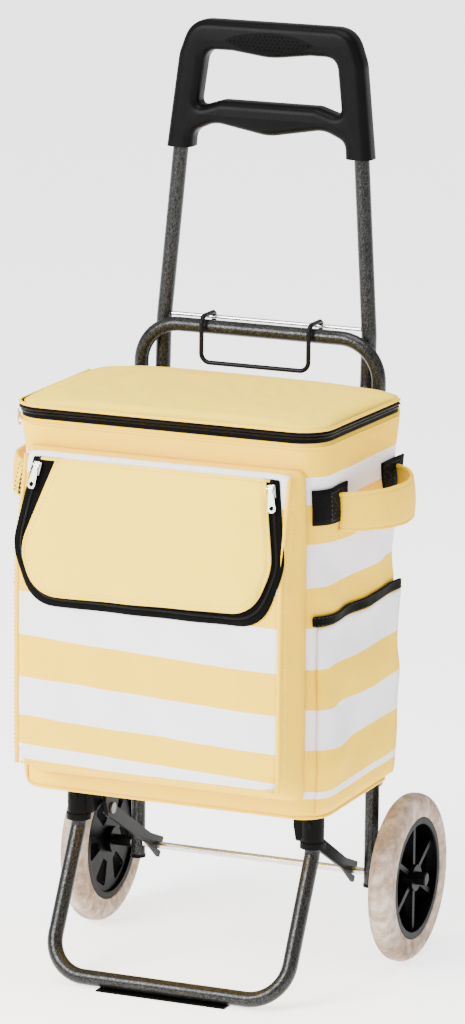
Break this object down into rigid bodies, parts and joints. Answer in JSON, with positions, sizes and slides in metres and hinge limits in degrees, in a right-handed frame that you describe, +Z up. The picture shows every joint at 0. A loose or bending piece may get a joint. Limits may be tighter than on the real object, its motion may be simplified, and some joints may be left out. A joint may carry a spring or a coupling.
{
  "type": "folding shopping trolley",
  "caption": "Folding two-wheeled shopping trolley with a bent tube frame, a fold-back handle, a fold-up foot and a striped zip-top bag.",
  "frame": {"origin": "on the ground, under the middle of the trolley's outer box", "axes": "+Z up, +Y to the back (wheel and handle side), +X across"},
  "size_m": [0.401, 0.3508, 0.9064],
  "materials": {
    "frame_enamel": "hammered dark grey enamel",
    "black_plastic": "satin moulded nylon",
    "bright_steel": "zinc plated",
    "black_steel": "black enamel",
    "rivet_steel": "zinc plated, dull",
    "bail_wire": "dark coated spring wire",
    "tyre_foam": "mottled beige foam rubber",
    "hub_plastic": "gloss black",
    "grip_plastic": "satin charcoal",
    "grip_rubber": "dimpled soft rubber",
    "striped_canvas": "woven polyester with yellow and white stripes",
    "yellow_canvas": "woven polyester, pale yellow",
    "black_webbing": "ribbed webbing",
    "zip_tape": "woven zip tape",
    "foil_lining": "silver foil lining",
    "board": "plain fibre board",
    "zip_metal": "polished zinc"
  },
  "bodies": {
    "frame": {"main_frame_tube": "frame_enamel", "leg_end_plugs": "black_plastic", "axle": "bright_steel", "axle_spacers": "black_plastic", "axle_end_caps": "bright_steel", "platform_pivot_rivets": "rivet_steel", "platform_pivot_spacers": "black_steel", "handle_pivot_rivets": "rivet_steel", "handle_pivot_washers": "black_plastic", "frame_straps": "black_webbing"},
    "platform": {"platform_arm_left": "black_steel", "platform_arm_right": "black_steel", "platform_rods": "black_steel", "elbow_rivets": "rivet_steel", "strut_rivets": "rivet_steel"},
    "foot": {"elbow_left": "black_plastic", "elbow_right": "black_plastic", "elbow_screws": "bright_steel", "foot_tube": "frame_enamel", "foot_plate": "black_steel", "foot_plate_rivets": "rivet_steel"},
    "strut_left": {"strut_left": "black_steel"},
    "strut_right": {"strut_right": "black_steel"},
    "wheel_left": {"tyre_left": "tyre_foam", "wheel_hub_left": "hub_plastic", "wheel_bush_left": "black_plastic"},
    "wheel_right": {"tyre_right": "tyre_foam", "wheel_hub_right": "hub_plastic", "wheel_bush_right": "black_plastic"},
    "handle": {"handle_tube_left": "frame_enamel", "handle_tube_right": "frame_enamel", "handle_cross_rod": "bright_steel", "handle_grip": "grip_plastic", "grip_pad": "grip_rubber", "grip_screws": "bright_steel"},
    "bail": {"bail": "bail_wire"},
    "bag": {"bag_shell": "striped_canvas", "bag_lining": "foil_lining", "base_board": "board", "body_zip_tape": "zip_tape", "lid_hinge_strip": "black_webbing", "front_pocket": "striped_canvas", "pocket_zip_tape": "zip_tape", "side_pocket_left": "striped_canvas", "side_pocket_right": "striped_canvas", "side_pocket_bindings": "black_webbing", "handle_webbing": "black_webbing", "side_handle_left": "yellow_canvas", "side_handle_right": "yellow_canvas", "snap_studs": "rivet_steel"},
    "lid": {"lid_panel": "yellow_canvas", "lid_zip_tape": "zip_tape"},
    "flap": {"pocket_flap": "yellow_canvas"},
    "lid_slider": {"lid_slider": "zip_metal"},
    "lid_pull": {"lid_pull": "zip_metal"},
    "pocket_slider_left": {"pocket_slider_left": "zip_metal"},
    "pocket_slider_right": {"pocket_slider_right": "zip_metal"},
    "pocket_pull_left": {"pocket_pull_left": "zip_metal"},
    "pocket_pull_right": {"pocket_pull_right": "zip_metal"}
  },
  "joints": [
    {"name": "platform_fold", "type": "hinge", "parent": "frame", "child": "platform", "pos_m": [0, 0.0929, 0.176], "axis": [-1, 0, 0], "range_deg": [0, 88]},
    {"name": "foot_fold", "type": "hinge", "parent": "platform", "child": "foot", "pos_m": [0, -0.0321, 0.17], "axis": [1, 0, 0], "range_deg": [0, 111]},
    {"name": "strut_swing_left", "type": "hinge", "parent": "platform", "child": "strut_left", "pos_m": [-0.1041, -0.0291, 0.152], "axis": [1, 0, 0], "range_deg": [0, 29.5]},
    {"name": "strut_swing_right", "type": "hinge", "parent": "platform", "child": "strut_right", "pos_m": [0.1041, -0.0291, 0.152], "axis": [1, 0, 0], "range_deg": [0, 29.5]},
    {"name": "bag_lift", "type": "slide", "parent": "frame", "child": "bag", "axis": [0, -0.1736, 0.9848], "range_m": [0, 0.278]},
    {"name": "handle_fold", "type": "hinge", "parent": "frame", "child": "handle", "pos_m": [0, 0.0929, 0.49], "axis": [-1, 0, 0], "range_deg": [0, 165], "deforming": ["bail"]},
    {"name": "bail_swing", "type": "hinge", "parent": "handle", "child": "bail", "pos_m": [0, 0.10883, 0.617], "axis": [-1, 0, 0], "range_deg": [0, 150]},
    {"name": "wheel_spin_left", "type": "hinge", "parent": "frame", "child": "wheel_left", "pos_m": [-0.163, 0.0929, 0.0825], "axis": [1, 0, 0], "continuous": true},
    {"name": "wheel_spin_right", "type": "hinge", "parent": "frame", "child": "wheel_right", "pos_m": [0.163, 0.0929, 0.0825], "axis": [1, 0, 0], "continuous": true},
    {"name": "lid_open", "type": "hinge", "parent": "bag", "child": "lid", "pos_m": [0, 0.0734, 0.5608], "axis": [-1, 0, 0], "range_deg": [0, 60]},
    {"name": "flap_open", "type": "hinge", "parent": "bag", "child": "flap", "pos_m": [0, -0.1541, 0.5224], "axis": [-1, 0, 0], "range_deg": [0, 110]},
    {"name": "lid_slider_slide", "type": "slide", "parent": "bag", "child": "lid_slider", "axis": [0, 1, 0], "range_m": [0, 0.12]},
    {"name": "lid_pull_swing", "type": "hinge", "parent": "lid_slider", "child": "lid_pull", "pos_m": [-0.1637, -0.1031, 0.5624], "axis": [0, 1, 0], "range_deg": [0, 120]},
    {"name": "pocket_slide_left", "type": "slide", "parent": "bag", "child": "pocket_slider_left", "axis": [-0.1687, -0.2065, -0.9638], "range_m": [0, 0.055]},
    {"name": "pocket_pull_swing_left", "type": "hinge", "parent": "pocket_slider_left", "child": "pocket_pull_left", "pos_m": [-0.11873, -0.1609, 0.51592], "axis": [-0.985, 0.0361, 0.1686], "range_deg": [0, 120]},
    {"name": "pocket_slide_right", "type": "slide", "parent": "bag", "child": "pocket_slider_right", "axis": [0.1687, -0.2065, -0.9638], "range_m": [0, 0.055]},
    {"name": "pocket_pull_swing_right", "type": "hinge", "parent": "pocket_slider_right", "child": "pocket_pull_right", "pos_m": [0.11873, -0.1609, 0.51592], "axis": [-0.985, -0.0361, -0.1686], "range_deg": [0, 120]}
  ],
  "couplings": [
    {"joint": "foot_fold", "follows": "platform_fold", "ratio": 1.25},
    {"joint": "strut_swing_left", "follows": "platform_fold", "ratio": 0.33},
    {"joint": "strut_swing_right", "follows": "platform_fold", "ratio": 0.33},
    {"joint": "bag_lift", "follows": "platform_fold", "m_per_rad": 0.18}
  ]
}
